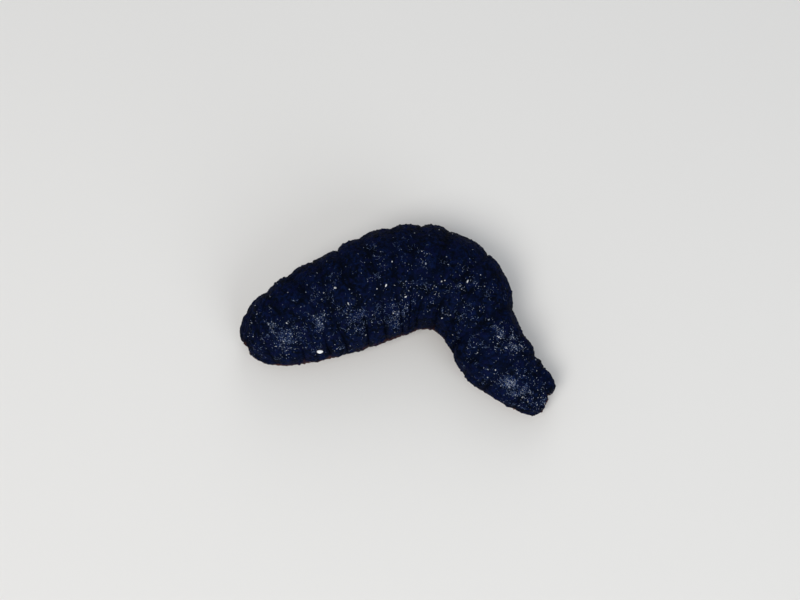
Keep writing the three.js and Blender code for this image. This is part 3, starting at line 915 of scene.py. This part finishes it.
def add_oral_disc(material):
    """The disc at the bottom of the mouth that the tentacles stand on, creased towards its middle."""
    radius = np.linspace(ORAL_DISC["radius"], 0.3, 16)
    turn = TURN * np.arange(80) / 80
    crease = 0.25 * np.cos(TENTACLES * turn) * (radius / radius[0])[:, None]
    height = ORAL_DISC["top"] + crease - 1.5 * np.exp(-((radius / 1.1) ** 2))[:, None]
    skirt = np.array([[ORAL_DISC["radius"] * 0.98, ORAL_DISC["bottom"]]])
    r = np.concatenate([skirt[:, :1] + 0 * crease[:1], radius[:, None] + 0 * crease])
    h = np.concatenate([skirt[:, 1:] + 0 * crease[:1], height])
    across = np.stack([r * np.cos(turn), -r * np.sin(turn)], axis=-1)
    rings = opening_place(MOUTH, across, h)
    ends = np.stack([rings[0].mean(axis=0), rings[-1].mean(axis=0)])
    shape = np.concatenate([rings.reshape(-1, 3), ends])[None]
    piece = add_joined("oral_disc", shape, tube_faces(len(r), 80), np.array([[0.5, 0.5]]), material)


class Shader:
    """A material's nodes, made by short calls."""

    def __init__(self, name, roughness, specular):
        self.material = bpy.data.materials.new(name)
        self.material.use_nodes = True
        self.tree = self.material.node_tree
        self.surface = self.tree.nodes["Principled BSDF"]
        self.surface.inputs["Roughness"].default_value = roughness
        self.surface.inputs["Specular IOR Level"].default_value = specular
        self.place = self.node("ShaderNodeTexCoord").outputs["Object"]

    def node(self, kind, inputs=None, **settings):
        node = self.tree.nodes.new(kind)
        for key, value in settings.items():
            setattr(node, key, value)
        for key, value in (inputs or {}).items():
            if isinstance(value, bpy.types.NodeSocket):
                self.tree.links.new(value, node.inputs[key])
            else:
                node.inputs[key].default_value = value
        return node

    def attribute(self, name):
        return self.node("ShaderNodeAttribute", attribute_name=name).outputs["Fac"]

    def noise(self, size, detail=2.0, distortion=0.0):
        """Noise from about 0.3 to 0.7, with features of a size in millimetres."""
        inputs = {"Vector": self.place, "Scale": 1 / (size * MM), "Detail": detail}
        inputs["Distortion"] = distortion
        return self.node("ShaderNodeTexNoise", inputs).outputs["Fac"]

    def cells(self, size):
        inputs = {"Vector": self.place, "Scale": 1 / (size * MM)}
        return self.node("ShaderNodeTexVoronoi", inputs)

    def band(self, value, low, high):
        inputs = {"Value": value, "From Min": low, "From Max": high}
        return self.node("ShaderNodeMapRange", inputs, interpolation_type="SMOOTHSTEP").outputs[0]

    def maths(self, operation, a, b=0.0):
        return self.node("ShaderNodeMath", {0: a, 1: b}, operation=operation).outputs[0]

    def product(self, first, *others):
        for other in others:
            first = self.maths("MULTIPLY", first, other)
        return first

    def mix(self, factor, a, b):
        a, b = (c if isinstance(c, bpy.types.NodeSocket) else (*c, 1) for c in (a, b))
        return self.node("ShaderNodeMix", {0: factor, 6: a, 7: b}, data_type="RGBA").outputs[2]

    def bump(self, height, millimetres, normal=None):
        inputs = {"Height": height, "Distance": millimetres * MM, "Strength": 1.0}
        if normal:
            inputs["Normal"] = normal
        return self.node("ShaderNodeBump", inputs).outputs["Normal"]

    def finish(self, colour, roughness=None, normal=None):
        for key, value in (("Base Color", colour), ("Roughness", roughness), ("Normal", normal)):
            if value:
                self.tree.links.new(value, self.surface.inputs[key])
        return self.material


def specks(shader, size, cover, largest):
    """Round dots, at most one in each cell, in the share of the cells that cover gives."""
    cell = shader.cells(size)
    drawn = shader.node("ShaderNodeSeparateColor", {0: cell.outputs["Color"]})
    there = shader.band(shader.maths("SUBTRACT", cover, drawn.outputs[0]), 0.0, 0.04)
    reach = shader.maths("MULTIPLY_ADD", drawn.outputs[1], largest * 0.7)
    reach.node.inputs[2].default_value = largest * 0.3
    inside = shader.band(shader.maths("SUBTRACT", reach, cell.outputs["Distance"]), 0.0, 0.1)
    return shader.product(there, inside)


def skin_material():
    shader = Shader("sea_cucumber_skin", roughness=0.6, specular=0.012)
    crest, under = shader.attribute("crest"), shader.attribute("under")
    sediment, inside = shader.attribute("sediment"), shader.attribute("inside")
    patches, mottles = shader.noise(SKIN_PATCHES, 3), shader.noise(SKIN_MOTTLES, 4, 0.4)
    fine, finest = shader.noise(SKIN_FINE, 3), shader.noise(SKIN_FINEST, 2)

    colour = shader.mix(shader.band(patches, 0.4, 0.62), INK, NAVY)
    # Blue mottles kept to the fold crests so the grooves stay dark: real blue mottling, and painted
    # shade in the grooves.
    blue = shader.product(shader.band(mottles, 0.42, 0.68), shader.band(crest, 0.2, 0.9))
    colour = shader.mix(shader.product(blue, 0.75), colour, BLUE)
    violet = shader.band(shader.noise(SKIN_VIOLET, 2), 0.52, 0.66)
    colour = shader.mix(shader.product(violet, 0.5), colour, VIOLET)
    # Painted shade: the skin is darkened where the fine bump is low.
    painted_hollow_shade = shader.product(shader.band(fine, 0.5, 0.36), 0.6)
    colour = shader.mix(painted_hollow_shade, colour, HOLLOW_SHADE)

    haze = shader.product(shader.band(sediment, 0.1, 0.9), shader.band(fine, 0.4, 0.62), 0.8)
    colour = shader.mix(haze, colour, BLOOM)
    thread = shader.maths("SUBTRACT", shader.noise(PAINTED_THREADS, 1, 0.8), 0.5)
    thread = shader.maths("ABSOLUTE", thread)
    broken = shader.band(shader.noise(THREAD_BREAKS, 2), 0.46, 0.56)
    thread = shader.product(shader.band(thread, 0.016, 0.004), broken, shader.band(sediment, 0.05, 0.5))
    colour = shader.mix(shader.product(thread, 0.5), colour, FROST)
    cover = shader.maths("MULTIPLY_ADD", sediment, 0.3)
    cover.node.inputs[2].default_value = 0.004
    bare = shader.maths("SUBTRACT", 1.0, shader.maths("MAXIMUM", under, inside))
    dots = shader.product(specks(shader, DUST_CELLS, cover, 0.42), bare)
    colour = shader.mix(shader.product(dots, 0.7), colour, DUST)

    brown = shader.mix(shader.band(mottles, 0.36, 0.68), SOLE_DARK, SOLE_PALE)
    brown = shader.mix(shader.product(shader.band(patches, 0.56, 0.64), 0.6), brown, INK)
    brown = shader.mix(shader.product(specks(shader, SUCKER_CELLS, 0.5, 0.3), 0.35), brown, SUCKER)
    # Painted shade: the brown underside is darkened where the fine bump is low.
    brown = shader.mix(shader.product(shader.band(fine, 0.5, 0.34), 0.6), brown, SOLE_DARK)
    colour = shader.mix(under, colour, brown)
    colour = shader.mix(shader.product(inside, 0.9), colour, THROAT)

    roughness = shader.maths("MULTIPLY_ADD", shader.maths("MAXIMUM", dots, haze), 0.25)
    roughness.node.inputs[2].default_value = 0.58
    normal = shader.bump(fine, 0.32)
    normal = shader.bump(finest, 0.1, normal)
    normal = shader.bump(dots, 0.12, normal)
    return shader.finish(colour, roughness, normal)


def sediment_material(name, dark, pale, roughness):
    """Loose matter, each bit in its own tone between dark and pale."""
    shader = Shader(name, roughness, specular=0.3)
    colour = shader.mix(shader.attribute("tone"), dark, pale)
    grain = shader.noise(0.25, 3)
    # Painted shade: each bit is darkened where its fine bump is low.
    colour = shader.mix(shader.product(shader.band(grain, 0.55, 0.4), 0.35), colour, dark)
    return shader.finish(colour, normal=shader.bump(grain, 0.06))


def sole_material():
    shader = Shader("tube_feet", roughness=0.5, specular=0.4)
    height = shader.node("ShaderNodeSeparateXYZ", {0: shader.place}).outputs[2]
    blotches = shader.noise(1.2, 3)
    colour = shader.mix(shader.band(blotches, 0.4, 0.64), SOLE_DARK, SOLE_PALE)
    sucker = shader.product(shader.band(height, 0.9 * MM, 0.2 * MM), 0.7)
    colour = shader.mix(sucker, colour, SUCKER)
    inputs = {"Vector": shader.place, "Scale": 1 / (FOOT_RING_SPACING * MM), "Distortion": 3.0}
    rings = shader.node("ShaderNodeTexWave", inputs, bands_direction="Z")
    normal = shader.bump(rings.outputs["Fac"], 0.03)
    return shader.finish(colour, normal=shader.bump(blotches, 0.1, normal))


def mouth_material():
    shader = Shader("mouth", roughness=0.5, specular=0.4)
    blotches = shader.noise(0.6, 3)
    colour = shader.mix(shader.band(blotches, 0.38, 0.62), TENTACLE_DARK, TENTACLE_PALE)
    return shader.finish(colour, normal=shader.bump(blotches, 0.15))


def make_floor():
    shader = Shader("floor", roughness=0.9, specular=0.2)
    shader.surface.inputs["Base Color"].default_value = (*FLOOR, 1)
    mesh = bpy.data.meshes.new("floor")
    edge = FLOOR_EDGE
    corners = [(-edge, -edge, 0), (edge, -edge, 0), (edge, edge, 0), (-edge, edge, 0)]
    mesh.from_pydata(corners, [], [(0, 1, 2, 3)])
    mesh.materials.append(shader.material)
    floor = bpy.data.objects.new("floor", mesh)
    bpy.context.scene.collection.objects.link(floor)


def look_at(thing, target):
    direction = Vector(target) - thing.location
    thing.rotation_euler = direction.to_track_quat("-Z", "Y").to_euler()


def make_light(name, place_m, size, watts, colour):
    light = bpy.data.lights.new(name, "AREA")
    light.shape = "DISK"
    light.size = size
    light.energy = watts
    light.color = colour
    lamp = bpy.data.objects.new(name, light)
    lamp.location = place_m
    bpy.context.scene.collection.objects.link(lamp)
    look_at(lamp, LIGHT_TARGET)


def make_studio():
    for name, lamp in LAMPS.items():
        make_light(name, **lamp)
    world = bpy.data.worlds.new("studio")
    world.use_nodes = True
    background = world.node_tree.nodes["Background"]
    background.inputs["Color"].default_value = (*SKY, 1)
    background.inputs["Strength"].default_value = SKY_STRENGTH
    bpy.context.scene.world = world
    bpy.context.scene.view_settings.view_transform = "Standard"


def make_camera():
    lens = bpy.data.cameras.new("camera")
    lens.lens = CAMERA["lens"]
    lens.clip_start = 0.01
    camera = bpy.data.objects.new("camera", lens)
    up = math.radians(CAMERA["elevation"])
    away = Vector((0, -math.cos(up), math.sin(up))) * CAMERA["distance"]
    camera.location = Vector(CAMERA["aim"]) + away
    bpy.context.scene.collection.objects.link(camera)
    look_at(camera, CAMERA["aim"])
    bpy.context.scene.camera = camera


make_camera()
make_studio()
make_floor()
skin_grid = make_skin()
unwrap = grid_uv(skin_grid)
skin_piece = add_skin(skin_grid, skin_material())
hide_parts(*(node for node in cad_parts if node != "mouth_tentacles"))
add_grains(skin_grid, unwrap, sediment_material("sand", SAND_DARK, SAND_PALE, 0.85))
add_threads(skin_grid, unwrap, sediment_material("slime_threads", THREAD_DARK, THREAD_PALE, 0.7))
shell = sediment_material("shell", SHELL_DARK, SHELL_PALE, 0.45)
add_flecks(skin_grid, unwrap, shell)
add_shell_bit(skin_grid, shell)
add_tube_feet(sole_material())
mouth_finish = mouth_material()
add_tentacles(mouth_finish)
add_oral_disc(mouth_finish)
